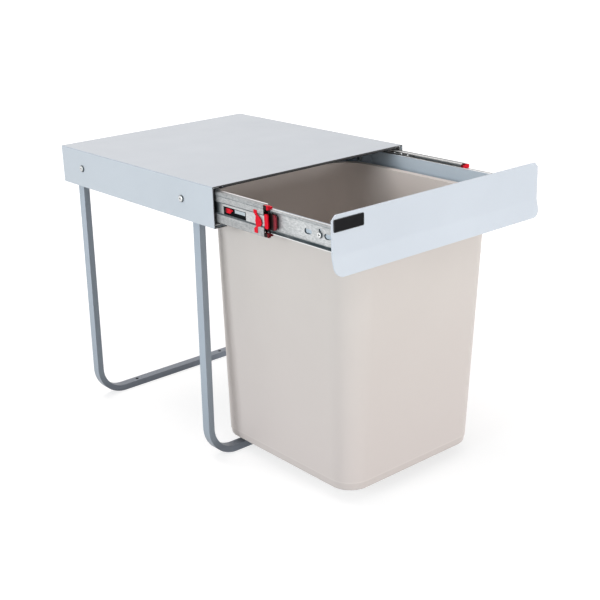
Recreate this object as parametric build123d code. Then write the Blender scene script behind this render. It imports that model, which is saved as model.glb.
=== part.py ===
from build123d import *
import os

# A pull out bin frame: a folded steel shelf on two U-shaped legs, with a pair of
# three-part ball slides under it. The slides carry a sheet steel carriage with a front
# panel, and a plastic bin hangs by its rim in the carriage.
# +X is to the right seen from the front, the carriage pulls out towards -Y, +Z is up.
# The model stands with its carriage pulled part of the way out. The origin lies on the
# floor, in the middle of the width and of the whole length.

# Cover
COVER_WIDTH = 310.0
COVER_DEPTH = 350.0
COVER_HEIGHT = 365.0
COVER_SHEET = 1.2
SKIRT_HEIGHT = 50.0
FLANGE_WIDTH = 18.0
COVER_CREASE = 0.9
HEM_DEPTH = 10.0
HEM_END_GAP = 1.5
OVERRUN = 2.0

# Legs
LEG_BAR = 8.6
LEG_WIDTH = 13.1
LEG_INSET = 2.8
LEG_SPLAY = 5.6
LEG_BEND = 42.0
FRONT_LEG_SETBACK = 34.6
REAR_LEG_SETBACK = 303.8
FLOOR_HOLE_RADIUS = 2.4
LEFT_FLOOR_HOLE = 67.0
RIGHT_FLOOR_HOLE = 96.0

# Leg screws, let into the leg's end through the skirt's flange
LEG_SCREW_RADIUS = 2.5
LEG_SCREW_LENGTH = 18.0
LEG_SCREW_HEAD_RADIUS = 4.2
LEG_SCREW_HEAD = 1.1

# Travel
PULL_OUT = 205.0
PANEL_STANDOFF = 9.0

# Slides, measured from the skirt's inner face inwards and from the slide's mid height
SLIDE_THICKNESS = 12.7
SLIDE_RISE = 0.5
RAIL_SHEET = 1.2
RAIL_BEND = 0.9
RAIL_LENGTH = 345.0
OUTER_SETBACK = 2.5
OUTER_HEIGHT = 45.5
OUTER_FLANGE = 10.4
OUTER_LIP = 2.4
MIDDLE_HEIGHT = 37.0
MIDDLE_LENGTH = 330.0
MIDDLE_SETBACK = 12.0
MIDDLE_DEPTH = 3.4
MIDDLE_FLANGE = 7.8
MIDDLE_BAND = 11.2
MIDDLE_RECESS = 1.0
INNER_HEIGHT = 27.6
INNER_FLANGE = 5.3
INNER_STANDOFF = 2.0
left_travel_share = 0.483
right_travel_share = 0.612

# Window and detent of a middle rail, measured from its front end
WINDOW_START = 33.0
WINDOW_LENGTH = 42.0
WINDOW_HEIGHT = 9.7
WINDOW_DROP = 1.3
PLUNGER_LENGTH = 14.0
PLUNGER_HEIGHT = 6.2
PLUNGER_THICKNESS = 2.3
PLUNGER_ROUND = 2.6
LEAF_LENGTH = 19.0
LEAF_SETBACK = 1.5
LEAF_HEIGHT = 4.6
LEAF_SHEET = 0.9

# End piece of a middle rail
END_CAP_LENGTH = 7.5
END_CAP_STRAP = 1.3
END_CAP_GAP = 0.4
END_CAP_BAR = 3.4
END_CAP_WALL = 1.4
END_CAP_TAB = 4.6
BAR_HEIGHT = 17.0
HOOK_START = 3.0
HOOK_LENGTH = 14.0
HOOK_HEIGHT = 26.6
HOOK_DROP = 2.6
HOOK_SHEET = 0.4
HOOK_NECK_LENGTH = 7.0
HOOK_NECK_HEIGHT = 9.0
HOOK_NECK_GAP = 0.1
TONGUE_LENGTH = 17.0
TONGUE_HEIGHT = 18.4
TONGUE_THICKNESS = 2.0
TONGUE_ROUND = 4.0
STRAP_HEIGHT = 10.0
STRAP_BACK = 14.0

# The hook's outline, as shares of its length behind its front and of its height
hook_shares = (
    (1.00, 0.50),
    (0.60, 0.50),
    (0.54, 0.31),
    (0.12, 0.16),
    (0.00, 0.00),
    (0.12, -0.15),
    (0.54, -0.23),
    (0.58, -0.50),
    (0.97, -0.50),
    (1.00, -0.32),
    (0.72, -0.20),
    (0.82, 0.00),
    (0.75, 0.23),
    (1.00, 0.37),
)

# Balls and cages
BALL_CLEARANCE = 0.05
BALL_HOLE_GAP = 0.05
BALL_PITCH = 12.0
BALLS_PER_ROW = 10
CAGE_SHEET = 0.6
CAGE_MARGIN = 0.55
OUTER_CAGE_GAP = 0.8
INNER_CAGE_GAP = 0.6
OUTER_BALL_DEPTH = 6.6
INNER_BALL_DEPTH = 9.3
OUTER_CAGE_SETBACK = 101.0
INNER_CAGE_SETBACK = 138.0

# Rear buffers of the outer rails
BUFFER_LENGTH = 5.0
BUFFER_HEIGHT = 30.0
BUFFER_DEPTH = 8.4
BUFFER_ROUND = 2.0

# Slide screws through the skirts
SLIDE_SCREW_RADIUS = 2.5
SLIDE_SCREW_HEAD_RADIUS = 4.6
SLIDE_SCREW_HEAD = 2.4
SLIDE_SCREW_END = 0.3
FRONT_SLIDE_SCREW = 64.4
REAR_SLIDE_SCREW = 297.5
HOLE_GAP = 0.15
RECESS_LENGTH = 3.6
RECESS_WIDTH = 0.9
RECESS_DEPTH = 1.1

# Carriage frame
FRAME_SHEET = 1.2
FRAME_LENGTH = 307.7
LEDGE_WIDTH = 18.6
FRONT_LEDGE = 15.2
REAR_LEDGE = 19.1
LEDGE_DROP = 22.7
EAR_LENGTH = 50.0
EAR_MARGIN = 2.4

# Screws that hold the inner rails to the carriage, with places behind the frame's front
RAIL_SCREW_RADIUS = 2.0
RAIL_SCREW_HEAD_RADIUS = 3.7
RAIL_SCREW_HEAD = 2.1
RAIL_SCREW_END = 0.5
RAIL_NUT_FLATS = 7.0
RAIL_NUT = 3.2
FRONT_RAIL_SCREW = 41.7
REAR_RAIL_SCREW = 278.0

# Slots and holes in the inner rails, with places behind the frame's front
INNER_SLOT_LENGTH = 11.3
INNER_SLOT_HEIGHT = 5.0
REAR_SLOT_PLACE = 60.6
FRONT_SLOT_PLACE = 28.7
PILOT_RADIUS = 1.4
PILOT_RISE = 5.3

# Front panel
PANEL_WIDTH = 328.0
PANEL_SHEET = 1.5
PANEL_RISE = 8.4
PANEL_HEIGHT = 65.6
PANEL_LIP_HEIGHT = 21.0
PANEL_FLARE = 5.1
PANEL_BEND = 14.0
PANEL_CHAMFER = 5.5
PANEL_ROUND = 11.0
STUD_RADIUS = 2.5
STUD_LENGTH = 5.8
STUD_PITCH = 70.0
STUD_COUNT = 4
STUD_DROP = 11.3
PANEL_NUT_FLATS = 8.0
PANEL_NUT = 4.0

# Badge on the panel
BADGE_WIDTH = 42.0
BADGE_HEIGHT = 13.7
BADGE_THICKNESS = 0.8
BADGE_ROUND = 1.6
BADGE_SIDE_GAP = 2.3
BADGE_TOP_GAP = 4.4
BADGE_RIM = 0.7
BADGE_SINK = 0.3

# Bin
BIN_WALL = 2.3
BIN_FLOOR_GAP = 6.7
BIN_DRAFT = 10.2
BIN_RAKE = 12.0
BIN_TOP_CORNER = 40.0
BIN_BASE_CORNER = 30.0
BIN_FOOT_HEIGHT = 7.5
BIN_FOOT_STEP = 1.1
BIN_BASE_ROUND = 2.0
LIP_WIDTH = 7.6
LIP_DROP = 9.0
LIP_ROUND = 1.6
LIP_SIDE_GAP = 12.9
LIP_FRONT_GAP = 9.1
LIP_REAR_GAP = 13.2

# Places worked out from the sizes above
SIDES = {"left": -1, "right": 1}
skirt_wall = COVER_WIDTH / 2 - COVER_SHEET
skirt_bottom = COVER_HEIGHT - SKIRT_HEIGHT
slide_z = COVER_HEIGHT - SKIRT_HEIGHT / 2 + SLIDE_RISE
front_reach = PULL_OUT + PANEL_STANDOFF + PANEL_SHEET + PANEL_FLARE
cover_front = (front_reach - COVER_DEPTH) / 2
cover_back = cover_front + COVER_DEPTH
frame_front = cover_front - PANEL_STANDOFF - PULL_OUT
frame_back = frame_front + FRAME_LENGTH
frame_side = skirt_wall - SLIDE_THICKNESS
nut_seat = frame_side - 2 * FRAME_SHEET
frame_top = slide_z + INNER_HEIGHT / 2
ledge_top = frame_top - LEDGE_DROP
rim_top = ledge_top + LIP_DROP
rim_half = frame_side - FRAME_SHEET - LIP_SIDE_GAP - LIP_WIDTH
rim_front = frame_front + FRAME_SHEET + LIP_FRONT_GAP + LIP_WIDTH
rim_back = frame_back - FRAME_SHEET - LIP_REAR_GAP - LIP_WIDTH
bin_bottom = LEG_BAR + BIN_FLOOR_GAP
leg_half = COVER_WIDTH / 2 - LEG_INSET
leg_centre = leg_half - LEG_BAR / 2
screw_rows = {"front": FRONT_SLIDE_SCREW, "rear": REAR_SLIDE_SCREW}
travel_share = {"left": left_travel_share, "right": right_travel_share}


def slab(x0, x1, y0, y1, z0, z1):
    """A block between two opposite corners."""
    middle = Pos((x0 + x1) / 2, (y0 + y1) / 2, (z0 + z1) / 2)
    return middle * Box(abs(x1 - x0), abs(y1 - y0), abs(z1 - z0))


def outline(points, rounded=(), radius=0):
    """A face from its corners, with the listed corners rounded."""
    face = make_face(Polyline(*points, close=True))
    if rounded:
        corners = [face.vertices().sort_by_distance((*points[i], 0))[0] for i in rounded]
        face = fillet(corners, radius)
    return face


def along_y(face, y0, y1):
    """The solid that a face drawn as (x, z) makes between two places along Y."""
    return extrude(Plane.XZ.offset(-y0) * face, amount=y0 - y1)


def along_x(face, x0, x1):
    """The solid that a face drawn as (y, z) makes between two places along X."""
    return extrude(Plane.YZ.offset(x0) * face, amount=x1 - x0)


def rod_x(x0, x1, y, z, radius):
    """A round bar along X."""
    place = Pos((x0 + x1) / 2, y, z) * Rot(0, 90, 0)
    return place * Cylinder(radius, abs(x1 - x0))


def rod_y(x, y0, y1, z, radius):
    """A round bar along Y."""
    place = Pos(x, (y0 + y1) / 2, z) * Rot(90, 0, 0)
    return place * Cylinder(radius, abs(y1 - y0))


def rod_z(x, y, z0, z1, radius):
    """A round bar along Z."""
    return Pos(x, y, (z0 + z1) / 2) * Cylinder(radius, abs(z1 - z0))


def group(solids):
    """Separate solids that share one node."""
    return Compound(children=list(solids))


def inwards(side, depth):
    """The X of a place at a depth into a slide, measured from the skirt's inner face."""
    return side * (skirt_wall - depth)


def slide_slab(side, depth0, depth1, y0, y1, rise0, rise1):
    """A block in a slide, given by its depth and by its height from the slide's middle."""
    x0 = inwards(side, depth0)
    x1 = inwards(side, depth1)
    return slab(x0, x1, y0, y1, slide_z + rise0, slide_z + rise1)


def slide_outline(side, points, rounded=(), radius=0):
    """A section of a slide from points of depth and height."""
    placed = [(inwards(side, depth), slide_z + rise) for depth, rise in points]
    return outline(placed, rounded, radius)


def both_ways(upper):
    """A closed outline from its upper half, repeated below the slide's middle."""
    return upper + [(depth, -rise) for depth, rise in reversed(upper)]


def top_cover():
    """The folded shelf: top, three skirts, return flanges, and a hem along the front."""
    half = COVER_WIDTH / 2
    body = slab(-half, half, cover_front, cover_back, skirt_bottom, COVER_HEIGHT)
    edges = body.edges().filter_by(Axis.Y).group_by(Axis.Z)[-1]
    edges += body.edges().filter_by(Axis.X).group_by(Axis.Z)[-1].sort_by(Axis.Y)[-1:]
    edges += body.edges().filter_by(Axis.Z).group_by(Axis.Y)[-1]
    body = fillet(edges, COVER_CREASE)
    back_wall = cover_back - COVER_SHEET
    under = COVER_HEIGHT - COVER_SHEET
    flange_top = skirt_bottom + COVER_SHEET
    flange_edge = half - FLANGE_WIDTH
    body -= slab(-skirt_wall, skirt_wall, cover_front - OVERRUN, back_wall, flange_top, under)
    body -= slab(
        -flange_edge,
        flange_edge,
        cover_front - OVERRUN,
        cover_back - FLANGE_WIDTH,
        skirt_bottom - OVERRUN,
        flange_top + OVERRUN,
    )
    hem_half = frame_side - HEM_END_GAP
    body += slab(
        -hem_half, hem_half, cover_front, cover_front + HEM_DEPTH, under - COVER_SHEET, under
    )
    for side in SIDES.values():
        for setback in screw_rows.values():
            y = cover_front + setback
            x0 = side * (half + OVERRUN)
            x1 = side * (skirt_wall - OVERRUN)
            body -= rod_x(x0, x1, y, slide_z, SLIDE_SCREW_RADIUS + HOLE_GAP)
        for setback in (FRONT_LEG_SETBACK, REAR_LEG_SETBACK):
            y = cover_front + setback + LEG_WIDTH / 2
            low = skirt_bottom - OVERRUN
            high = flange_top + OVERRUN
            body -= rod_z(side * leg_centre, y, low, high, LEG_SCREW_RADIUS + HOLE_GAP)
    return body


def leg_outline(inset, bend):
    """The U of a leg, drawn inset from its outer faces."""
    top = skirt_bottom
    half_top = leg_half - inset
    half_floor = leg_half + LEG_SPLAY - inset
    points = [(-half_top, top), (-half_floor, inset), (half_floor, inset), (half_top, top)]
    return outline(points, (1, 2), bend)


def leg(setback):
    """A flat bar bent to a U, with floor screw holes and a tapped hole in each end."""
    y0 = cover_front + setback
    y1 = y0 + LEG_WIDTH
    middle = (y0 + y1) / 2
    face = leg_outline(0, LEG_BEND) - leg_outline(LEG_BAR, LEG_BEND - LEG_BAR)
    bar = along_y(face, y0, y1)
    for x in floor_holes():
        bar -= rod_z(x, middle, -OVERRUN, LEG_BAR + OVERRUN, FLOOR_HOLE_RADIUS)
    low = skirt_bottom - LEG_SCREW_LENGTH - HOLE_GAP
    for side in SIDES.values():
        radius = LEG_SCREW_RADIUS + HOLE_GAP / 2
        bar -= rod_z(side * leg_centre, middle, low, skirt_bottom + OVERRUN, radius)
    return bar


def floor_holes():
    """The X of the two floor holes in a leg's base bar."""
    end = leg_half + LEG_SPLAY
    return (LEFT_FLOOR_HOLE - end, end - RIGHT_FLOOR_HOLE)


def leg_screws():
    """Low-headed screws down through the flanges into the ends of the legs."""
    seat = skirt_bottom + COVER_SHEET
    screws = []
    for setback in (FRONT_LEG_SETBACK, REAR_LEG_SETBACK):
        y = cover_front + setback + LEG_WIDTH / 2
        for side in SIDES.values():
            x = side * leg_centre
            shank = rod_z(x, y, skirt_bottom - LEG_SCREW_LENGTH, seat, LEG_SCREW_RADIUS)
            head = rod_z(x, y, seat, seat + LEG_SCREW_HEAD, LEG_SCREW_HEAD_RADIUS)
            screws.append(shank + head)
    return group(screws)


def slide_screws():
    """Domed screws through the skirts into the outer rails."""
    screws = []
    for side in SIDES.values():
        seat = side * COVER_WIDTH / 2
        crown = seat + side * SLIDE_SCREW_HEAD
        end = inwards(side, RAIL_SHEET + SLIDE_SCREW_END)
        for setback in screw_rows.values():
            y = cover_front + setback
            head = rod_x(seat, crown, y, slide_z, SLIDE_SCREW_HEAD_RADIUS)
            rim = head.edges().filter_by(GeomType.CIRCLE).sort_by(Axis.X)[::side][-1]
            head = fillet(rim, SLIDE_SCREW_HEAD - RECESS_WIDTH / 2)
            floor = crown - side * RECESS_DEPTH
            over = crown + side * OVERRUN
            long = RECESS_LENGTH / 2
            wide = RECESS_WIDTH / 2
            head -= slab(floor, over, y - long, y + long, slide_z - wide, slide_z + wide)
            head -= slab(floor, over, y - wide, y + wide, slide_z - long, slide_z + long)
            screws.append(head + rod_x(seat, end, y, slide_z, SLIDE_SCREW_RADIUS))
    return group(screws)


def outer_rail(side):
    """The fixed rail: a channel with small lips that keep the balls in."""
    half = OUTER_HEIGHT / 2
    upper = [
        (0, half),
        (OUTER_FLANGE, half),
        (OUTER_FLANGE, half - OUTER_LIP),
        (OUTER_FLANGE - RAIL_SHEET, half - OUTER_LIP),
        (OUTER_FLANGE - RAIL_SHEET, half - RAIL_SHEET),
        (RAIL_SHEET, half - RAIL_SHEET),
    ]
    points = both_ways(upper)
    last = len(points) - 1
    section = slide_outline(side, points, (0, 1, last - 1, last), RAIL_BEND)
    y0 = cover_front + OUTER_SETBACK
    rail = along_y(section, y0, y0 + RAIL_LENGTH)
    for setback in screw_rows.values():
        y = cover_front + setback
        x0 = inwards(side, -OVERRUN)
        x1 = inwards(side, RAIL_SHEET + OVERRUN)
        rail -= rod_x(x0, x1, y, slide_z, SLIDE_SCREW_RADIUS + HOLE_GAP)
    return rail


def middle_front(name):
    """Where the front end of a middle rail stands."""
    return cover_front + MIDDLE_SETBACK - travel_share[name] * PULL_OUT


def middle_rail(name):
    """The sliding middle rail: a channel whose web has a recessed band along it."""
    side = SIDES[name]
    half = MIDDLE_HEIGHT / 2
    band = half - MIDDLE_BAND
    deep = MIDDLE_DEPTH + MIDDLE_RECESS
    open_end = MIDDLE_DEPTH + MIDDLE_FLANGE
    upper = [
        (deep, band - MIDDLE_RECESS),
        (MIDDLE_DEPTH, band),
        (MIDDLE_DEPTH, half),
        (open_end, half),
        (open_end, half - RAIL_SHEET),
        (MIDDLE_DEPTH + RAIL_SHEET, half - RAIL_SHEET),
        (MIDDLE_DEPTH + RAIL_SHEET, band),
        (deep + RAIL_SHEET, band - MIDDLE_RECESS),
    ]
    section = slide_outline(side, both_ways(upper), (2, 13), RAIL_BEND)
    y0 = middle_front(name)
    rail = along_y(section, y0, y0 + MIDDLE_LENGTH)
    through = (MIDDLE_DEPTH - OVERRUN, deep + RAIL_SHEET + OVERRUN)
    high = WINDOW_HEIGHT / 2 - WINDOW_DROP
    low = -WINDOW_HEIGHT / 2 - WINDOW_DROP
    start = y0 + WINDOW_START
    rail -= slide_slab(side, *through, start, start + WINDOW_LENGTH, low, high)
    y1, y2, z1, z2 = hook_neck(y0, HOOK_NECK_GAP)
    rail -= slide_slab(side, *through, y1, y2, z1, z2)
    return rail


def hook_neck(y0, gap):
    """The neck that joins an end piece's hook to its strap, with a gap all round."""
    start = y0 + HOOK_START + (HOOK_LENGTH - HOOK_NECK_LENGTH) / 2
    half = HOOK_NECK_HEIGHT / 2
    return (
        start - gap,
        start + HOOK_NECK_LENGTH + gap,
        -half - HOOK_DROP / 2 - gap,
        half - HOOK_DROP / 2 + gap,
    )


def end_cap(name):
    """The plastic end piece: bar and corner tabs across the end, hook, strap and tongue."""
    side = SIDES[name]
    y0 = middle_front(name)
    tip = y0 - END_CAP_LENGTH
    back = MIDDLE_DEPTH + MIDDLE_RECESS + RAIL_SHEET
    strap_end = back + END_CAP_STRAP
    half = MIDDLE_HEIGHT / 2 - END_CAP_GAP
    face = MIDDLE_DEPTH + END_CAP_GAP
    bar_half = BAR_HEIGHT / 2
    cap = slide_slab(side, back, strap_end, tip, y0, -half, half)
    cap -= slide_slab(
        side,
        back - OVERRUN,
        strap_end + OVERRUN,
        tip + END_CAP_WALL,
        y0 - END_CAP_WALL,
        bar_half,
        half - END_CAP_TAB,
    )
    cap -= slide_slab(
        side,
        back - OVERRUN,
        strap_end + OVERRUN,
        tip + END_CAP_WALL,
        y0 - END_CAP_WALL,
        END_CAP_TAB - half,
        -bar_half,
    )
    bar = RectangleRounded(END_CAP_BAR + PLUNGER_ROUND, BAR_HEIGHT, PLUNGER_ROUND - END_CAP_GAP)
    bar = Pos(tip + END_CAP_BAR, slide_z) * bar
    cap += along_x(bar, inwards(side, face), inwards(side, back))
    for up in (-1, 1):
        tab = up * (half - END_CAP_TAB)
        cap += slide_slab(side, face, back, tip, y0, tab, up * half)
        deep = MIDDLE_DEPTH + MIDDLE_FLANGE - END_CAP_GAP
        low = INNER_HEIGHT / 2 + END_CAP_GAP
        cap += slide_slab(side, back, deep, tip, y0, up * low, up * (half - RAIL_SHEET))
    hook = [
        (y0 + HOOK_START + HOOK_LENGTH * u, slide_z - HOOK_DROP + HOOK_HEIGHT * h)
        for u, h in hook_shares
    ]
    outside = MIDDLE_DEPTH - HOOK_SHEET
    cap += along_x(outline(hook), inwards(side, outside), inwards(side, MIDDLE_DEPTH))
    cap += slide_slab(side, MIDDLE_DEPTH, strap_end, *hook_neck(y0, 0))
    strap = STRAP_HEIGHT / 2
    cap += slide_slab(side, back, strap_end, tip, y0 + STRAP_BACK, -strap, strap)
    tongue_end = strap_end + TONGUE_THICKNESS
    tongue = RectangleRounded(TONGUE_LENGTH, TONGUE_HEIGHT, TONGUE_ROUND)
    tongue = Pos(y0 - TONGUE_LENGTH / 2, slide_z) * tongue
    cap += along_x(tongue, inwards(side, strap_end), inwards(side, tongue_end))
    return cap


def detent_plunger(name):
    """The plastic plunger at the rear of a middle rail's window."""
    side = SIDES[name]
    rear = middle_front(name) + WINDOW_START + WINDOW_LENGTH
    centre = slide_z - WINDOW_DROP + (WINDOW_HEIGHT - PLUNGER_HEIGHT) / 4
    depth = MIDDLE_DEPTH + MIDDLE_RECESS + RAIL_SHEET
    head = RectangleRounded(PLUNGER_LENGTH, PLUNGER_HEIGHT, PLUNGER_ROUND)
    head = Pos(rear - PLUNGER_LENGTH / 2, centre) * head
    plunger = along_x(head, inwards(side, depth - PLUNGER_THICKNESS), inwards(side, depth))
    low = centre - slide_z - PLUNGER_HEIGHT / 2
    foot = slide_slab(
        side, depth - RAIL_SHEET, depth, rear - PLUNGER_ROUND, rear, low, low + PLUNGER_HEIGHT
    )
    return plunger + foot


def detent_leaf(name):
    """The steel leaf along the upper edge of a middle rail's window."""
    side = SIDES[name]
    front = middle_front(name) + WINDOW_START + LEAF_SETBACK
    top = WINDOW_HEIGHT / 2 - WINDOW_DROP
    depth = MIDDLE_DEPTH + MIDDLE_RECESS
    return slide_slab(
        side, depth, depth + LEAF_SHEET, front, front + LEAF_LENGTH, top - LEAF_HEIGHT, top
    )


def inner_rail(side):
    """The moving rail, which opens outwards and is screwed to the carriage."""
    half = INNER_HEIGHT / 2
    open_end = SLIDE_THICKNESS - INNER_FLANGE
    upper = [
        (SLIDE_THICKNESS, half),
        (open_end, half),
        (open_end, half - RAIL_SHEET),
        (SLIDE_THICKNESS - RAIL_SHEET, half - RAIL_SHEET),
    ]
    points = both_ways(upper)
    section = slide_outline(side, points, (0, len(points) - 1), RAIL_BEND)
    y0 = frame_front + INNER_STANDOFF
    rail = along_y(section, y0, y0 + RAIL_LENGTH)
    x0 = inwards(side, SLIDE_THICKNESS + OVERRUN)
    x1 = inwards(side, SLIDE_THICKNESS - RAIL_SHEET - OVERRUN)
    for place in (FRONT_RAIL_SCREW, REAR_RAIL_SCREW):
        y = frame_front + place
        rail -= rod_x(x0, x1, y, slide_z, RAIL_SCREW_RADIUS + HOLE_GAP)
    rail -= rod_x(x0, x1, frame_front + FRONT_RAIL_SCREW, slide_z + PILOT_RISE, PILOT_RADIUS)
    slot = SlotOverall(INNER_SLOT_LENGTH, INNER_SLOT_HEIGHT)
    for place in (FRONT_SLOT_PLACE, REAR_SLOT_PLACE):
        cut = Pos(frame_front + place, slide_z) * slot
        rail -= along_x(cut, min(x0, x1), max(x0, x1))
    return rail


def ball_rows(name, kind):
    """The centres of a cage's balls, and their radius."""
    side = SIDES[name]
    share = travel_share[name]
    if kind == "outer":
        outside = OUTER_HEIGHT / 2 - RAIL_SHEET
        inside = MIDDLE_HEIGHT / 2
        depth = OUTER_BALL_DEPTH
        start = cover_front + OUTER_CAGE_SETBACK - PULL_OUT * share / 2
    else:
        outside = MIDDLE_HEIGHT / 2 - RAIL_SHEET
        inside = INNER_HEIGHT / 2
        depth = INNER_BALL_DEPTH
        start = cover_front + INNER_CAGE_SETBACK - PULL_OUT * (1 + share) / 2
    rise = (outside + inside) / 2
    radius = (outside - inside) / 2 - BALL_CLEARANCE
    centres = [
        (inwards(side, depth), start + BALL_PITCH * (i + 0.5), slide_z + up * rise)
        for up in (-1, 1)
        for i in range(BALLS_PER_ROW)
    ]
    return centres, radius, rise, depth, start


def balls(name, kind):
    """The steel balls of a cage."""
    centres, radius, _, _, _ = ball_rows(name, kind)
    return group(Pos(*centre) * Sphere(radius) for centre in centres)


def ball_cage(name, kind):
    """The thin strip that spaces the balls of two rails."""
    side = SIDES[name]
    centres, radius, rise, depth, start = ball_rows(name, kind)
    if kind == "outer":
        near = RAIL_SHEET + OUTER_CAGE_GAP
    else:
        near = MIDDLE_DEPTH + MIDDLE_RECESS + RAIL_SHEET + INNER_CAGE_GAP
    far = depth + radius + CAGE_MARGIN
    high = rise + CAGE_SHEET / 2
    upper = [
        (near, high),
        (far, high),
        (far, high - CAGE_SHEET),
        (near + CAGE_SHEET, high - CAGE_SHEET),
    ]
    section = slide_outline(side, both_ways(upper))
    cage = along_y(section, start, start + BALL_PITCH * BALLS_PER_ROW)
    for x, y, z in centres:
        cage -= rod_z(x, y, z - CAGE_SHEET, z + CAGE_SHEET, radius + BALL_HOLE_GAP)
    return cage


def rear_buffer(side):
    """The buffer at the back of an outer rail, which stops the middle rail."""
    y1 = cover_front + OUTER_SETBACK + RAIL_LENGTH
    pad = RectangleRounded(BUFFER_DEPTH, BUFFER_HEIGHT, BUFFER_ROUND)
    pad = Pos(inwards(side, RAIL_SHEET + BUFFER_DEPTH / 2), slide_z) * pad
    return along_y(pad, y1 - BUFFER_LENGTH, y1)


def carriage_side(side):
    """An angle along the slide: upright leaf on the inner rail, ledge for the bin's rim."""
    outer = side * frame_side
    inner = side * (frame_side - FRAME_SHEET)
    edge = side * (frame_side - FRAME_SHEET - LEDGE_WIDTH)
    floor = ledge_top - FRAME_SHEET
    y0 = frame_front
    leaf = slab(outer, inner, y0, frame_back, floor, frame_top)
    for place in (FRONT_RAIL_SCREW, REAR_RAIL_SCREW):
        y = frame_front + place
        far = outer + side * OVERRUN
        leaf -= rod_x(far, inner - side * OVERRUN, y, slide_z, RAIL_SCREW_RADIUS + HOLE_GAP)
    ledge_front = frame_front + FRAME_SHEET + FRONT_LEDGE
    ledge_back = frame_back - FRAME_SHEET - REAR_LEDGE
    return leaf + slab(inner, edge, ledge_front, ledge_back, floor, ledge_top)


def carriage_bar(back):
    """The angle across the front or the back of the carriage, with an ear at each end."""
    facing = -1 if back else 1
    outer = frame_back if back else frame_front
    ledge = REAR_LEDGE if back else FRONT_LEDGE
    half = frame_side - FRAME_SHEET
    leaf = outer + facing * FRAME_SHEET
    floor = ledge_top - FRAME_SHEET
    bar = slab(-half, half, outer, leaf, floor, frame_top)
    bar += slab(-half, half, leaf, leaf + facing * ledge, floor, ledge_top)
    place = REAR_RAIL_SCREW if back else FRONT_RAIL_SCREW
    for side in SIDES.values():
        x0 = side * half
        x1 = side * (half - FRAME_SHEET)
        low = ledge_top + EAR_MARGIN
        high = frame_top - EAR_MARGIN
        ear = slab(x0, x1, leaf, leaf + facing * EAR_LENGTH, low, high)
        y = frame_front + place
        far = x0 + side * OVERRUN
        near = x1 - side * OVERRUN
        bar += ear - rod_x(far, near, y, slide_z, RAIL_SCREW_RADIUS + HOLE_GAP)
    if not back:
        for x in stud_places():
            z = frame_top - STUD_DROP
            bar -= rod_y(x, outer - OVERRUN, leaf + OVERRUN, z, STUD_RADIUS + HOLE_GAP)
    return bar


def rail_screw_places():
    """Side and Y of each screw of the inner rails; each goes through an ear."""
    for side in SIDES.values():
        yield side, frame_front + FRONT_RAIL_SCREW
        yield side, frame_front + REAR_RAIL_SCREW


def inner_rail_screws():
    """Pan head screws in the inner rails' channels, through rail, leaf and ear."""
    screws = []
    for side, y in rail_screw_places():
        web = inwards(side, SLIDE_THICKNESS - RAIL_SHEET)
        top = web + side * RAIL_SCREW_HEAD
        head = rod_x(web, top, y, slide_z, RAIL_SCREW_HEAD_RADIUS)
        rim = head.edges().filter_by(GeomType.CIRCLE).sort_by(Axis.X)[::side][-1]
        head = fillet(rim, RAIL_SCREW_HEAD / 2)
        floor = top - side * RECESS_DEPTH
        over = top + side * OVERRUN
        long = RECESS_LENGTH / 2
        wide = RECESS_WIDTH / 2
        head -= slab(floor, over, y - long, y + long, slide_z - wide, slide_z + wide)
        head -= slab(floor, over, y - wide, y + wide, slide_z - long, slide_z + long)
        end = side * (nut_seat - RAIL_NUT - RAIL_SCREW_END)
        screws.append(head + rod_x(web, end, y, slide_z, RAIL_SCREW_RADIUS))
    return group(screws)


def inner_rail_nuts():
    """The nuts of the inner rails' screws, inside the carriage."""
    nuts = []
    for side, y in rail_screw_places():
        hexagon = RegularPolygon(RAIL_NUT_FLATS / 2, 6, major_radius=False)
        ring = hexagon - Circle(RAIL_SCREW_RADIUS + BALL_HOLE_GAP)
        ring = Pos(y, slide_z) * ring
        nuts.append(along_x(ring, side * nut_seat, side * (nut_seat - RAIL_NUT)))
    return group(nuts)


def front_panel():
    """The folded front: flat above, its lower edge flared forwards, its corners cut."""
    top = COVER_HEIGHT + PANEL_RISE
    bottom = top - PANEL_HEIGHT
    kink = bottom + PANEL_LIP_HEIGHT
    back = frame_front
    face = back - PANEL_SHEET
    profile = outline(
        [
            (back, top),
            (back, kink),
            (back - PANEL_FLARE, bottom),
            (face - PANEL_FLARE, bottom),
            (face, kink),
            (face, top),
        ]
    )
    half = PANEL_WIDTH / 2
    panel = along_x(profile, -half, half)
    bends = panel.edges().filter_by(Axis.X).group_by(Axis.Z)[1]
    panel = fillet(bends, PANEL_BEND)
    shape = [
        (-half, bottom),
        (half, bottom),
        (half, top - PANEL_CHAMFER),
        (half - PANEL_CHAMFER, top),
        (PANEL_CHAMFER - half, top),
        (-half, top - PANEL_CHAMFER),
    ]
    cutter = along_y(outline(shape, (0, 1), PANEL_ROUND), face - PANEL_FLARE - OVERRUN, back + OVERRUN)
    return panel & cutter


def stud_places():
    """The X of the panel's studs."""
    first = -STUD_PITCH * (STUD_COUNT - 1) / 2
    return [first + STUD_PITCH * i for i in range(STUD_COUNT)]


def panel_studs():
    """Studs welded to the back of the panel."""
    z = frame_top - STUD_DROP
    end = frame_front + STUD_LENGTH
    return group(rod_y(x, frame_front, end, z, STUD_RADIUS) for x in stud_places())


def panel_nuts():
    """The nuts that draw the panel against the carriage's front bar."""
    z = frame_top - STUD_DROP
    seat = frame_front + FRAME_SHEET
    nuts = []
    for x in stud_places():
        hexagon = RegularPolygon(PANEL_NUT_FLATS / 2, 6, major_radius=False)
        ring = Pos(x, z) * (hexagon - Circle(STUD_RADIUS + BALL_HOLE_GAP))
        nuts.append(along_y(ring, seat, seat + PANEL_NUT))
    return group(nuts)


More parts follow.
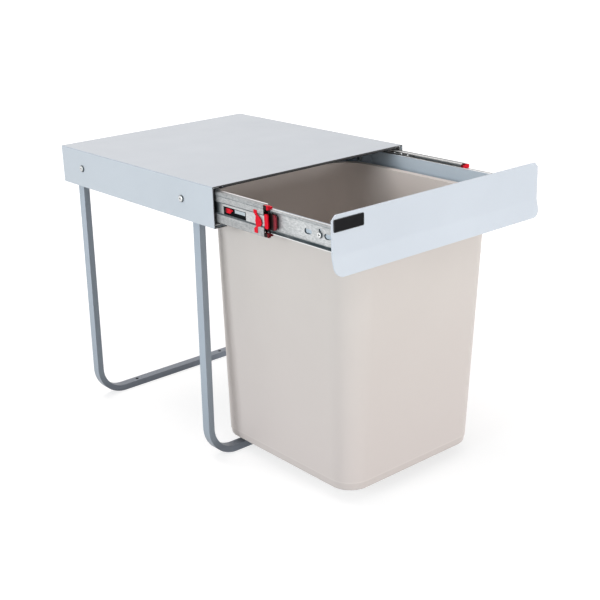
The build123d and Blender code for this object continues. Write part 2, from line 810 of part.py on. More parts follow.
def badge_plate():
    """The blank badge: a small plate with a raised rim."""
    x0 = -PANEL_WIDTH / 2 + BADGE_SIDE_GAP
    z1 = COVER_HEIGHT + PANEL_RISE - BADGE_TOP_GAP
    middle = Pos(x0 + BADGE_WIDTH / 2, z1 - BADGE_HEIGHT / 2)
    back = frame_front - PANEL_SHEET
    front = back - BADGE_THICKNESS
    plate = along_y(middle * RectangleRounded(BADGE_WIDTH, BADGE_HEIGHT, BADGE_ROUND), front, back)
    field = RectangleRounded(
        BADGE_WIDTH - 2 * BADGE_RIM, BADGE_HEIGHT - 2 * BADGE_RIM, BADGE_ROUND - BADGE_RIM
    )
    return plate - along_y(middle * field, front - OVERRUN, front + BADGE_SINK)


def bin_section(z, inset):
    """The bin's outline at a height, drawn inset from its outer wall."""
    share = (z - bin_bottom) / (rim_top - bin_bottom)
    half = rim_half - BIN_DRAFT * (1 - share) - inset
    front = rim_front + (BIN_DRAFT + BIN_RAKE) * (1 - share) + inset
    back = rim_back + (BIN_RAKE - BIN_DRAFT) * (1 - share) - inset
    corner = BIN_BASE_CORNER + (BIN_TOP_CORNER - BIN_BASE_CORNER) * share - inset
    return Pos(0, (front + back) / 2, z) * RectangleRounded(2 * half, back - front, corner)


def waste_bin():
    """The moulded bin: raked and tapered, with a stepped foot and a turned-over rim."""
    foot_top = bin_bottom + BIN_FOOT_HEIGHT
    body = loft([bin_section(foot_top, 0), bin_section(rim_top, 0)], ruled=True)
    foot = loft(
        [bin_section(bin_bottom, BIN_FOOT_STEP), bin_section(foot_top, BIN_FOOT_STEP)],
        ruled=True,
    )
    foot = fillet(foot.faces().sort_by(Axis.Z)[0].edges(), BIN_BASE_ROUND)
    body += foot
    rim = bin_section(rim_top, -LIP_WIDTH)
    lip = extrude(rim, amount=-LIP_DROP)
    lip = fillet(lip.faces().sort_by(Axis.Z)[-1].edges(), LIP_ROUND)
    hollow = Pos(0, 0, -BIN_WALL) * bin_section(rim_top, BIN_WALL - LIP_WIDTH)
    body += lip - extrude(hollow, amount=-LIP_DROP)
    floor = bin_bottom + BIN_WALL
    inset = BIN_WALL + BIN_FOOT_STEP
    cavity = loft([bin_section(floor, inset), bin_section(foot_top, inset)], ruled=True)
    cavity += loft(
        [bin_section(foot_top, inset), bin_section(rim_top + OVERRUN, BIN_WALL)], ruled=True
    )
    return body - cavity


nodes = {
    "top_cover": top_cover(),
    "front_leg": leg(FRONT_LEG_SETBACK),
    "rear_leg": leg(REAR_LEG_SETBACK),
    "leg_screws": leg_screws(),
    "slide_screws": slide_screws(),
    "inner_rail_screws": inner_rail_screws(),
    "inner_rail_nuts": inner_rail_nuts(),
    "carriage_front_bar": carriage_bar(back=False),
    "carriage_rear_bar": carriage_bar(back=True),
    "front_panel": front_panel(),
    "panel_studs": panel_studs(),
    "panel_nuts": panel_nuts(),
    "badge_plate": badge_plate(),
    "waste_bin": waste_bin(),
}
for name, side in SIDES.items():
    nodes[f"{name}_outer_rail"] = outer_rail(side)
    nodes[f"{name}_rear_buffer"] = rear_buffer(side)
    nodes[f"{name}_middle_rail"] = middle_rail(name)
    nodes[f"{name}_end_cap"] = end_cap(name)
    nodes[f"{name}_detent_plunger"] = detent_plunger(name)
    nodes[f"{name}_detent_leaf"] = detent_leaf(name)
    nodes[f"{name}_inner_rail"] = inner_rail(side)
    nodes[f"{name}_carriage_side"] = carriage_side(side)
    for kind in ("outer", "inner"):
        nodes[f"{name}_{kind}_cage"] = ball_cage(name, kind)
        nodes[f"{name}_{kind}_balls"] = balls(name, kind)

os.makedirs("parts", exist_ok=True)
for node, shape in nodes.items():
    export_step(shape, f"parts/{node}.step")
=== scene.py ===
import math
import bmesh
import bpy
from mathutils import Matrix, Vector


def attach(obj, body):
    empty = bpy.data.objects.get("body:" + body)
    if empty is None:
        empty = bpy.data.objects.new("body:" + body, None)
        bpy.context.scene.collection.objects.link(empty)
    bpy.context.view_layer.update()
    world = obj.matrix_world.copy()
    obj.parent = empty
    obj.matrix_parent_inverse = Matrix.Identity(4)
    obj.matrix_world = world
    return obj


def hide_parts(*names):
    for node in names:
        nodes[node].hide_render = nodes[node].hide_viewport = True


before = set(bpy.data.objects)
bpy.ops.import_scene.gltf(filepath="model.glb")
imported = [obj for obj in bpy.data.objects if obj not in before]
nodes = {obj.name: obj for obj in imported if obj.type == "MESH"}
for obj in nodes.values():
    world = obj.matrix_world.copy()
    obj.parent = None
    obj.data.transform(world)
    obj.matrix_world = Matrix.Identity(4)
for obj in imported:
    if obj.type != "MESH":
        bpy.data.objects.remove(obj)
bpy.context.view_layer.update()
bpy.ops.object.select_all(action="DESELECT")

# The cover: a shelf folded from one steel sheet, with a skirt down three sides, flanges
# turned in under the skirts and a hem along the open front. It is powder coated after
# folding, with a fine orange peel. The bend from the top into each skirt is darkened with
# painted shade, and the cut edges are painted dark as painted shade, near black on the hem.
COVER_GREY = (0.507, 0.551, 0.594)
CREASE_SHADE = (0.400, 0.450, 0.505)
SKIRT_EDGE_SHADE = (0.110, 0.115, 0.125)
TOP_EDGE_SHADE = (0.030, 0.030, 0.032)
COVER_FRONT = -64.7
CUT_DEPTH = 0.1
CREASE_SIDE = 154.0
CREASE_HEIGHT = 364.0
CREASE_SOFT = 0.3
SKIRT_INSIDE = 153.6
NOISE_LOW = 0.3
NOISE_HIGH = 0.7
COAT_CLOUDS = 9.0
COAT_SPECKS = 1600.0
SPECK_DARK = 0.985
SPECK_LIGHT = 1.015
COAT_HANDLING = 22.0
HANDLED_SMOOTH = -0.04
HANDLED_DULL = 0.05
COAT_PEEL = 700.0
PEEL_DEPTH = 0.00004
COAT_SPECULAR = 0.45


def shader_group(name, inputs, outputs):
    """A node group with named sockets; each value is a socket type and its start value."""
    tree = bpy.data.node_groups.new(name, "ShaderNodeTree")
    for socket, (kind, start) in inputs.items():
        made = tree.interface.new_socket(socket, in_out="INPUT", socket_type=kind)
        if start is not None:
            made.default_value = start
    for socket, kind in outputs.items():
        tree.interface.new_socket(socket, in_out="OUTPUT", socket_type=kind)
    start_node = tree.nodes.new("NodeGroupInput")
    end_node = tree.nodes.new("NodeGroupOutput")
    return tree, start_node, end_node


def noise(tree, vector, scale, detail=2.0, stretch=(1, 1, 1)):
    """Noise at a scale per metre, on coordinates that may be stretched."""
    mapping = tree.nodes.new("ShaderNodeMapping")
    mapping.inputs["Scale"].default_value = stretch
    tree.links.new(vector, mapping.inputs["Vector"])
    made = tree.nodes.new("ShaderNodeTexNoise")
    made.inputs["Detail"].default_value = detail
    tree.links.new(mapping.outputs["Vector"], made.inputs["Vector"])
    if isinstance(scale, (int, float)):
        made.inputs["Scale"].default_value = scale
    else:
        tree.links.new(scale, made.inputs["Scale"])
    return made.outputs["Fac"]


def map_range(tree, value, low, high, to_low, to_high):
    """A value moved from one range to another and held inside it."""
    made = tree.nodes.new("ShaderNodeMapRange")
    made.clamp = True
    tree.links.new(value, made.inputs["Value"])
    for socket, given in (("From Min", low), ("From Max", high)):
        made.inputs[socket].default_value = given
    for socket, given in (("To Min", to_low), ("To Max", to_high)):
        if isinstance(given, (int, float)):
            made.inputs[socket].default_value = given
        else:
            tree.links.new(given, made.inputs[socket])
    return made.outputs["Result"]


def spread(tree, pattern, low, high):
    """Noise whose usual range is moved to run from one value to another."""
    return map_range(tree, pattern, NOISE_LOW, NOISE_HIGH, low, high)


def math_node(tree, operation, first, second=0.0):
    """One operation on two values or sockets."""
    made = tree.nodes.new("ShaderNodeMath")
    made.operation = operation
    for place, given in enumerate((first, second)):
        if isinstance(given, (int, float)):
            made.inputs[place].default_value = given
        else:
            tree.links.new(given, made.inputs[place])
    return made.outputs["Value"]


def overlap(tree, *masks):
    """One where every mask is one."""
    result = masks[0]
    for mask in masks[1:]:
        result = math_node(tree, "MULTIPLY", result, mask)
    return result


def fade(tree, value, low, high, at_low=0.0, at_high=1.0):
    """Runs from one number to another between two places in millimetres."""
    return map_range(tree, value, low / 1000, high / 1000, at_low, at_high)


def past(tree, value, place):
    """One where a length is more than a place in millimetres."""
    return math_node(tree, "GREATER_THAN", value, place / 1000)


def short_of(tree, value, place):
    """One where a length is less than a place in millimetres."""
    return math_node(tree, "LESS_THAN", value, place / 1000)


def blend_colour(tree, factor, first, second, kind="MIX"):
    """Two colours mixed by a factor; each may be a socket or a plain colour."""
    made = tree.nodes.new("ShaderNodeMix")
    made.data_type = "RGBA"
    made.blend_type = kind
    for place, given in (("Factor_Float", factor), ("A_Color", first), ("B_Color", second)):
        socket = next(s for s in made.inputs if s.identifier == place)
        if isinstance(given, bpy.types.NodeSocket):
            tree.links.new(given, socket)
        elif place == "Factor_Float":
            socket.default_value = given
        else:
            socket.default_value = (*given, 1)
    return next(s for s in made.outputs if s.identifier == "Result_Color")


coat_group, coat_in, coat_out = shader_group(
    "powder_coat",
    {
        "Vector": ("NodeSocketVector", None),
        "Colour": ("NodeSocketColor", (0.5, 0.5, 0.5, 1)),
        "Cloud": ("NodeSocketFloat", 0.03),
        "Gloss": ("NodeSocketFloat", 0.4),
    },
    {"Colour": "NodeSocketColor", "Roughness": "NodeSocketFloat", "Height": "NodeSocketFloat"},
)
coat_place = coat_in.outputs["Vector"]
bright = math_node(coat_group, "ADD", 1.0, coat_in.outputs["Cloud"])
dim = math_node(coat_group, "SUBTRACT", 1.0, coat_in.outputs["Cloud"])
shade = spread(coat_group, noise(coat_group, coat_place, COAT_CLOUDS, 3.0), dim, bright)
speck = noise(coat_group, coat_place, COAT_SPECKS, 1.0)
speck = map_range(coat_group, speck, 0.25, 0.75, SPECK_DARK, SPECK_LIGHT)
shade = math_node(coat_group, "MULTIPLY", shade, speck)
tinted = blend_colour(coat_group, 1.0, coat_in.outputs["Colour"], shade, "MULTIPLY")
coat_group.links.new(tinted, coat_out.inputs["Colour"])
handled = noise(coat_group, coat_place, COAT_HANDLING, 4.0)
handled = spread(coat_group, handled, HANDLED_SMOOTH, HANDLED_DULL)
handled = math_node(coat_group, "ADD", coat_in.outputs["Gloss"], handled)
coat_group.links.new(handled, coat_out.inputs["Roughness"])
peel = noise(coat_group, coat_place, COAT_PEEL, 1.5)
coat_group.links.new(peel, coat_out.inputs["Height"])


def new_material(name):
    """A material with its shader and the Object coordinates that its patterns read."""
    material = bpy.data.materials.new(name)
    material.use_nodes = True
    tree = material.node_tree
    shader = tree.nodes["Principled BSDF"]
    place = tree.nodes.new("ShaderNodeTexCoord").outputs["Object"]
    return material, tree, shader, place


def bump(tree, shader, height, distance, strength):
    """Relief from a height, in metres, on a shader's normal."""
    made = tree.nodes.new("ShaderNodeBump")
    made.inputs["Distance"].default_value = distance
    made.inputs["Strength"].default_value = strength
    tree.links.new(height, made.inputs["Height"])
    tree.links.new(made.outputs["Normal"], shader.inputs["Normal"])


def axes(material):
    """A material's tree, with the place along each axis, in metres."""
    tree = material.node_tree
    made = tree.nodes.new("ShaderNodeSeparateXYZ")
    tree.links.new(tree.nodes["Texture Coordinate"].outputs["Object"], made.inputs["Vector"])
    return tree, made.outputs["X"], made.outputs["Y"], made.outputs["Z"]


def repaint(material, mask, colour):
    """Lays a colour over a material's own where a mask is one."""
    tree = material.node_tree
    socket = tree.nodes["Principled BSDF"].inputs["Base Color"]
    under = socket.links[0].from_socket
    tree.links.new(blend_colour(tree, mask, under, colour), socket)


def powder_coat(name, colour, gloss=0.42, cloud=0.02):
    """Stoved powder coat of one colour."""
    material, tree, shader, place = new_material(name)
    coat = tree.nodes.new("ShaderNodeGroup")
    coat.node_tree = coat_group
    coat.inputs["Colour"].default_value = (*colour, 1)
    coat.inputs["Cloud"].default_value = cloud
    coat.inputs["Gloss"].default_value = gloss
    tree.links.new(place, coat.inputs["Vector"])
    tree.links.new(coat.outputs["Colour"], shader.inputs["Base Color"])
    tree.links.new(coat.outputs["Roughness"], shader.inputs["Roughness"])
    bump(tree, shader, coat.outputs["Height"], PEEL_DEPTH, strength=0.5)
    shader.inputs["Specular IOR Level"].default_value = COAT_SPECULAR
    return material


def dress(material, *names):
    """Gives CAD nodes their finish."""
    for name in names:
        nodes[name].data.materials.clear()
        nodes[name].data.materials.append(material)


cover_coat = powder_coat("cover_coat", COVER_GREY)
tree, across, along, up = axes(cover_coat)
sideways = math_node(tree, "ABSOLUTE", across)
# Painted shade along the bend from the top into each skirt, and on the cut edges.
crease = overlap(
    tree,
    fade(tree, sideways, CREASE_SIDE - CREASE_SOFT, CREASE_SIDE + CREASE_SOFT),
    fade(tree, up, CREASE_HEIGHT - CREASE_SOFT, CREASE_HEIGHT + CREASE_SOFT),
)
repaint(cover_coat, crease, CREASE_SHADE)
cut_edge_shade = blend_colour(tree, past(tree, sideways, SKIRT_INSIDE), TOP_EDGE_SHADE, SKIRT_EDGE_SHADE)
repaint(cover_coat, short_of(tree, along, COVER_FRONT + CUT_DEPTH), cut_edge_shade)
dress(cover_coat, "top_cover")

# The hem shade strip: a thin black strip under the cover's front hem, a little back from
# the cut edge. It is painted shade, a dark sheet that deepens the dark line of that edge, and
# the carriage passes under it.
HEM_BOTTOM = 362.6
STRIP_HALF = 150.4
STRIP_DEPTH = 5.0
STRIP_HEIGHT = 0.9
STRIP_SETBACK = 0.4
STRIP_ROUND = 0.4
STRIP_BLACK = (0.020, 0.020, 0.022)
STRIP_DEEP = (0.012, 0.012, 0.014)
GLOSS_PATCHES = 150.0
GLOSS_SPREAD = 0.05
SMOOTH_ANGLE = 35


def open_block(name, low, high):
    """A block between two corners in millimetres, left open in edit mode."""
    bpy.ops.object.select_all(action="DESELECT")
    centre = [(a + b) / 2000 for a, b in zip(low, high)]
    size = [(b - a) / 1000 for a, b in zip(low, high)]
    bpy.ops.mesh.primitive_cube_add(size=1, location=centre, scale=size)
    piece = bpy.context.object
    piece.name = name
    bpy.ops.object.transform_apply(location=True, rotation=True, scale=True)
    bpy.ops.object.mode_set(mode="EDIT")
    return piece


def pick(piece, kind, test):
    """Selects, in edit mode, the edges or faces that pass a test, and nothing else."""
    bpy.ops.mesh.select_mode(type=kind)
    bpy.ops.mesh.select_all(action="DESELECT")
    mesh = bmesh.from_edit_mesh(piece.data)
    for part in mesh.edges if kind == "EDGE" else mesh.faces:
        if test(part):
            part.select_set(True)
    bmesh.update_edit_mesh(piece.data)


def middle(edge):
    """The middle of an edge."""
    return (edge.verts[0].co + edge.verts[1].co) / 2


def lies_across(edge):
    """Whether an edge lies across the frame, from side to side."""
    way = edge.verts[1].co - edge.verts[0].co
    return abs(way.x) > 0.99 * way.length


def close_piece(piece, body, material):
    """Leaves edit mode and gives a finished piece its shading, body and material."""
    bpy.ops.mesh.select_all(action="SELECT")
    bpy.ops.mesh.remove_doubles(threshold=1e-6)
    bpy.ops.mesh.normals_make_consistent(inside=False)
    bpy.ops.object.mode_set(mode="OBJECT")
    bpy.ops.object.select_all(action="DESELECT")
    piece.select_set(True)
    bpy.context.view_layer.objects.active = piece
    bpy.ops.object.shade_smooth_by_angle(angle=math.radians(SMOOTH_ANGLE))
    piece.data.materials.clear()
    piece.data.materials.append(material)
    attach(piece, body)


def moulded(name, colour, deep, roughness, grain, grain_depth, specular=0.5, drift=40.0):
    """Moulded plastic: a light tone drift, a gloss that varies and a fine grain."""
    material, tree, shader, place = new_material(name)
    tone = spread(tree, noise(tree, place, drift, 3.0), 0.0, 1.0)
    tree.links.new(blend_colour(tree, tone, deep, colour), shader.inputs["Base Color"])
    gloss = noise(tree, place, GLOSS_PATCHES, 2.0)
    gloss = spread(tree, gloss, roughness - GLOSS_SPREAD, roughness + GLOSS_SPREAD)
    tree.links.new(gloss, shader.inputs["Roughness"])
    shader.inputs["Specular IOR Level"].default_value = specular
    bump(tree, shader, noise(tree, place, grain, 2.0), grain_depth, strength=0.6)
    return material


hem_shade_black = moulded(
    "hem_shade_black",
    STRIP_BLACK,
    STRIP_DEEP,
    roughness=0.8,
    grain=1800.0,
    grain_depth=0.00006,
    specular=0.2,
)
strip_front = COVER_FRONT + STRIP_SETBACK
strip_bottom = HEM_BOTTOM - STRIP_HEIGHT
strip = open_block(
    "hem_shade_strip",
    (-STRIP_HALF, strip_front, strip_bottom),
    (STRIP_HALF, strip_front + STRIP_DEPTH, HEM_BOTTOM),
)
strip_middle = (HEM_BOTTOM - STRIP_HEIGHT / 2) / 1000
pick(strip, "EDGE", lambda edge: lies_across(edge) and middle(edge).z < strip_middle)
bpy.ops.mesh.bevel(offset=STRIP_ROUND / 1000, segments=4)
close_piece(strip, "frame", hem_shade_black)

# The legs: two flat bars bent to a U, their ends screwed up into the cover's flanges. They
# carry the same coat, with painted shade that deepens towards the floor, most on the base
# bars, and their base bars have drilled holes whose walls are painted dark as shade.
LEG_GREY = (0.350, 0.405, 0.462)
LOWER_SHADE = (0.285, 0.333, 0.383)
LOWER_TOP = 35.0
LOWER_FADE = 150.0
BASE_SHADE = (0.190, 0.214, 0.254)
BASE_TOP = 12.0
BASE_FADE = 36.0
HOLE_PLACES = ((-90.8, -23.55), (61.8, -23.55), (-90.8, 245.65), (61.8, 245.65))
HOLE_RADIUS = 2.46
HOLE_SHADE = (0.010, 0.011, 0.012)


def beyond(tree, value, place):
    """How far a length is beyond a place in millimetres."""
    return math_node(tree, "SUBTRACT", value, place / 1000)


def distance(tree, first, second):
    """The long side of a right angle whose short sides are given."""
    square = math_node(tree, "MULTIPLY", first, first)
    square = math_node(tree, "ADD", square, math_node(tree, "MULTIPLY", second, second))
    return math_node(tree, "POWER", square, 0.5)


leg_coat = powder_coat("leg_coat", LEG_GREY, gloss=0.38, cloud=0.03)
tree, across, along, up = axes(leg_coat)
# Painted shade towards the floor and on the base bars, and in the drilled holes.
repaint(leg_coat, fade(tree, up, LOWER_TOP, LOWER_FADE, 1.0, 0.0), LOWER_SHADE)
repaint(leg_coat, fade(tree, up, BASE_TOP, BASE_FADE, 1.0, 0.0), BASE_SHADE)
for hole_x, hole_y in HOLE_PLACES:
    reach = distance(tree, beyond(tree, across, hole_x), beyond(tree, along, hole_y))
    repaint(leg_coat, short_of(tree, reach, HOLE_RADIUS), HOLE_SHADE)
dress(leg_coat, "front_leg", "rear_leg")

# The slides: three cold rolled channels each, bright zinc plated, with mottled crystals and
# faint rolling lines along them. Their folds carry grease and painted shade, the walls and
# rims of their cuts painted shade, and their bends painted highlights. Cages are plain zinc
# strip, and the balls are polished steel.
WAYS = {"left": -1, "right": 1}
ZINC_GREY = (0.39, 0.405, 0.41)
ZINC_LIGHT = (0.60, 0.61, 0.61)
ZINC_METALLIC = 0.85
RAIL_CRYSTALS = 560.0
CRYSTAL_ROUGH = 0.50
CRYSTAL_SMOOTH = 0.42
ROLLING_LINES = 1500.0
ROLLING_GLOSS = 0.05
ROLLING_RELIEF = 0.6
STAIN_PATCHES = 60.0
STAIN_DARK = 0.86
STAIN_LIGHT = 1.06
ZINC_RELIEF = 0.00005
# A dark grease colour, used both for grease and for painted shade.
GREASE_AND_SHADE = (0.030, 0.048, 0.056)
GREASE_SHADE_PATCHES = 130.0
GREASE_SHADE_THIN = 0.7
GLINT = (0.88, 0.88, 0.87)
GLINT_STRENGTH = 0.85
BEND_SHADE = 0.28
GLINT_SOFT = 0.4
WALL_SOFT = 0.05
SLIDE_Z = 340.5
zinc_group, zinc_in, zinc_out = shader_group(
    "zinc_plate",
    {"Vector": ("NodeSocketVector", None), "Crystals": ("NodeSocketFloat", RAIL_CRYSTALS)},
    {"Colour": "NodeSocketColor", "Roughness": "NodeSocketFloat", "Height": "NodeSocketFloat"},
)
zinc_place = zinc_in.outputs["Vector"]
crystal = noise(zinc_group, zinc_place, zinc_in.outputs["Crystals"], 3.0, (1, 0.45, 1))
rolling = noise(zinc_group, zinc_place, ROLLING_LINES, 2.0, (1, 0.012, 1))
stain = noise(zinc_group, zinc_place, STAIN_PATCHES, 3.0, (1, 0.35, 1))
tone = blend_colour(zinc_group, spread(zinc_group, crystal, 0.0, 1.0), ZINC_GREY, ZINC_LIGHT)
stain = map_range(zinc_group, stain, 0.35, 0.65, STAIN_DARK, STAIN_LIGHT)
tone = blend_colour(zinc_group, 1.0, tone, stain, "MULTIPLY")
zinc_group.links.new(tone, zinc_out.inputs["Colour"])
streak = spread(zinc_group, rolling, -ROLLING_GLOSS, ROLLING_GLOSS)
gloss = spread(zinc_group, crystal, CRYSTAL_ROUGH, CRYSTAL_SMOOTH)
gloss = math_node(zinc_group, "ADD", streak, gloss)
zinc_group.links.new(gloss, zinc_out.inputs["Roughness"])
relief = math_node(zinc_group, "MULTIPLY", rolling, ROLLING_RELIEF)
relief = math_node(zinc_group, "ADD", relief, crystal)
zinc_group.links.new(relief, zinc_out.inputs["Height"])


def zinc(name, crystals, metallic=ZINC_METALLIC):
    """Bright zinc plating on steel."""
    material, tree, shader, place = new_material(name)
    plate = tree.nodes.new("ShaderNodeGroup")
    plate.node_tree = zinc_group
    plate.inputs["Crystals"].default_value = crystals
    tree.links.new(place, plate.inputs["Vector"])
    tree.links.new(plate.outputs["Colour"], shader.inputs["Base Color"])
    tree.links.new(plate.outputs["Roughness"], shader.inputs["Roughness"])
    shader.inputs["Metallic"].default_value = metallic
    bump(tree, shader, plate.outputs["Height"], ZINC_RELIEF, strength=0.35)
    return material


def band(tree, value, low, high, soft=0.3):
    """One inside a band of a length, nought outside, with soft edges, in millimetres."""
    rise = fade(tree, value, low - soft, low)
    fall = fade(tree, value, high, high + soft, 1.0, 0.0)
    return overlap(tree, rise, fall)


def worn_zinc(name, shade, folds, glints, walls):
    """Rail zinc with grease and painted shade in its folds, painted shade on its cuts' walls,
    and painted highlights along its bends.
    """
    material = zinc(name, RAIL_CRYSTALS)
    tree, across, _, up = axes(material)
    shader = tree.nodes["Principled BSDF"]
    place = tree.nodes["Texture Coordinate"].outputs["Object"]
    repaint(material, 1.0 - shade, (0.0, 0.0, 0.0))
    rise = beyond(tree, up, SLIDE_Z)
    sideways = math_node(tree, "ABSOLUTE", across)
    patchy = noise(tree, place, GREASE_SHADE_PATCHES, 3.0, (1, 0.3, 1))
    patchy = map_range(tree, patchy, 0.35, 0.6, GREASE_SHADE_THIN, 1.0)
    # Each glint is a painted highlight along a bend, with painted shade on the rest of its
    # band.
    for low, high, reach in glints:
        bend = band(tree, rise, low, high)
        glinting = fade(tree, sideways, reach, reach + GLINT_SOFT, GLINT_STRENGTH, 0.0)
        repaint(material, overlap(tree, bend, glinting), GLINT)
        bend_shade = fade(tree, sideways, reach, reach + GLINT_SOFT, 0.0, BEND_SHADE)
        repaint(material, overlap(tree, bend, bend_shade, patchy), GREASE_AND_SHADE)
    # Grease and painted shade along the folds, and painted shade on the cuts' walls.
    shade_and_grease = 0.0
    for low, high, depth in folds:
        line = math_node(tree, "MULTIPLY", band(tree, rise, low, high), depth)
        shade_and_grease = math_node(tree, "MAXIMUM", line, shade_and_grease)
    near, far, reach = walls
    wall = band(tree, sideways, near, far, WALL_SOFT)
    wall = overlap(tree, wall, band(tree, rise, -reach, reach, WALL_SOFT))
    shade_and_grease = math_node(tree, "MAXIMUM", overlap(tree, shade_and_grease, patchy), wall)
    repaint(material, shade_and_grease, GREASE_AND_SHADE)
    clean = map_range(tree, shade_and_grease, 0.0, 1.0, ZINC_METALLIC, 0.0)
    tree.links.new(clean, shader.inputs["Metallic"])
    return material


# Heights are measured from the slides' middle and side places from the frame's, in
# millimetres. A fold is its low and high line and how dark its grease and painted shade
# are, a glint, a painted highlight, is its low and high line and the side place up to
# which it is painted bright, and walls, painted shade, are the cuts' near and far side
# places and how high they reach.
MIDDLE_SHADE = 0.78
MIDDLE_FOLDS = ((6.2, 7.3, 0.95), (-7.7, -6.2, 1.0), (13.7, 14.4, 0.60), (14.4, 17.2, 0.16))
MIDDLE_GLINTS = ((17.6, 18.6, 144.6),)
MIDDLE_WALLS = (148.3, 149.3, 6.2)
INNER_FOLDS = ((-12.9, -11.0, 1.00), (9.4, 10.6, 0.40))
INNER_GLINTS = ((13.0, 13.9, 143.2), (-13.9, -13.2, 147.0))
INNER_WALLS = (141.2, 142.2, 8.0)
middle_zinc = worn_zinc(
    "middle_zinc", MIDDLE_SHADE, MIDDLE_FOLDS, MIDDLE_GLINTS, MIDDLE_WALLS
)
inner_zinc = worn_zinc("inner_zinc", 1.0, INNER_FOLDS, INNER_GLINTS, INNER_WALLS)
rail_zinc = zinc("rail_zinc", RAIL_CRYSTALS)

# The inner rails' cuts, two slots and a hole in front of them, get a rim of painted shade
# along their rear and lower edge. Each is its middle, its lift, its length and its height.
INNER_CUTS = ((-250.0, 0.0, 11.3, 5.0), (-218.1, 0.0, 11.3, 5.0), (-237.0, 5.3, 2.8, 2.8))
RIM_WIDTH = 0.7
RIM_FADE = (-1.0, 2.0)
RIM_FAR = 142.5


def cut_rim_shade(material, centre, lift, length, height):
    """Painted shade on the rear and lower rim of a cut in a rail; all in millimetres."""
    tree, across, along, up = axes(material)
    behind = beyond(tree, along, centre)
    above = beyond(tree, up, SLIDE_Z + lift)
    straight = beyond(tree, math_node(tree, "ABSOLUTE", behind), (length - height) / 2)
    straight = math_node(tree, "MAXIMUM", straight)
    ring = short_of(tree, distance(tree, straight, above), height / 2 + RIM_WIDTH)
    lower = fade(tree, math_node(tree, "SUBTRACT", behind, above), *RIM_FADE)
    face = short_of(tree, math_node(tree, "ABSOLUTE", across), RIM_FAR)
    repaint(material, overlap(tree, ring, lower, face), GREASE_AND_SHADE)


for centre, lift, length, height in INNER_CUTS:
    cut_rim_shade(inner_zinc, centre, lift, length, height)

# The middle rails' recess is painted lighter than their bands, a painted sheen, and on the
# left, where the rail runs in under the cover's skirt, it carries grease and a painted shadow.
RECESS_HALF = 5.9
RECESS_SHEEN = 0.22
SHADOW_SMEAR_START = -78.0
SHADOW_SMEAR_FULL = -66.0
SHADOW_SMEAR_FADE = -60.0
SHADOW_SMEAR_END = -50.0
SHADOW_SMEAR_DEPTH = 0.90
tree, across, along, up = axes(middle_zinc)
recess = band(tree, beyond(tree, up, SLIDE_Z), -RECESS_HALF, RECESS_HALF)
repaint(middle_zinc, math_node(tree, "MULTIPLY", recess, RECESS_SHEEN), GLINT)
grease_and_shadow = overlap(
    tree,
    fade(tree, along, SHADOW_SMEAR_START, SHADOW_SMEAR_FULL, 0.0, SHADOW_SMEAR_DEPTH),
    fade(tree, along, SHADOW_SMEAR_FADE, SHADOW_SMEAR_END, 1.0, 0.0),
    short_of(tree, across, 0.0),
    recess,
)
repaint(middle_zinc, grease_and_shadow, GREASE_AND_SHADE)
for side in WAYS:
    dress(middle_zinc, f"{side}_middle_rail")
    dress(inner_zinc, f"{side}_inner_rail")
    dress(rail_zinc, f"{side}_outer_rail", f"{side}_outer_cage", f"{side}_inner_cage")

# The balls sit in the pockets of the cages, between one rail and the next. They are
# polished steel, a little duller in small specks.
BALL_DARK = (0.80, 0.80, 0.81)
BALL_LIGHT = (0.90, 0.90, 0.91)
BALL_SPECKS = 900.0
BALL_SMOOTH = 0.10
BALL_DULL = 0.22
ball_steel, tree, shader, place = new_material("ball_steel")
shader.inputs["Metallic"].default_value = 1.0
shine = noise(tree, place, BALL_SPECKS, 1.0)
tree.links.new(spread(tree, shine, BALL_SMOOTH, BALL_DULL), shader.inputs["Roughness"])
tree.links.new(blend_colour(tree, shine, BALL_DARK, BALL_LIGHT), shader.inputs["Base Color"])
for side in WAYS:
    dress(ball_steel, f"{side}_outer_balls", f"{side}_inner_balls")

# The detent behind each middle rail's window: a bright spring leaf, darker along its top
# edge, over a black pad behind the web that closes the window. The pad is a dark sheet put
# there as painted shade, for the shade inside the window.
LEAF_BLUE = (0.33, 0.44, 0.50)
LEAF_TINT = 0.45
LEAF_TOP = 343.3
LEAF_CRYSTALS = 900.0
LEAF_METALLIC = 0.55
PAD_NEAR = 147.85
PAD_FAR = 148.2
PAD_MARGIN = 1.6
PAD_ROUND = 1.2
PAD_BLACK = (0.006, 0.008, 0.009)
PAD_DEEP = (0.003, 0.004, 0.005)
WINDOW_LOW = 334.35
WINDOW_HIGH = 344.05
WINDOW_START = 33.0
WINDOW_LENGTH = 42.0
MIDDLE_FRONTS = {"left": -151.715, "right": -178.16}


def side_block(name, way, sideways, lengthways, upwards):
    """A block on one side of the frame, between pairs of places in millimetres."""
    near, far = sorted((way * sideways[0], way * sideways[1]))
    low = (near, lengthways[0], upwards[0])
    high = (far, lengthways[1], upwards[1])
    return open_block(name, low, high)


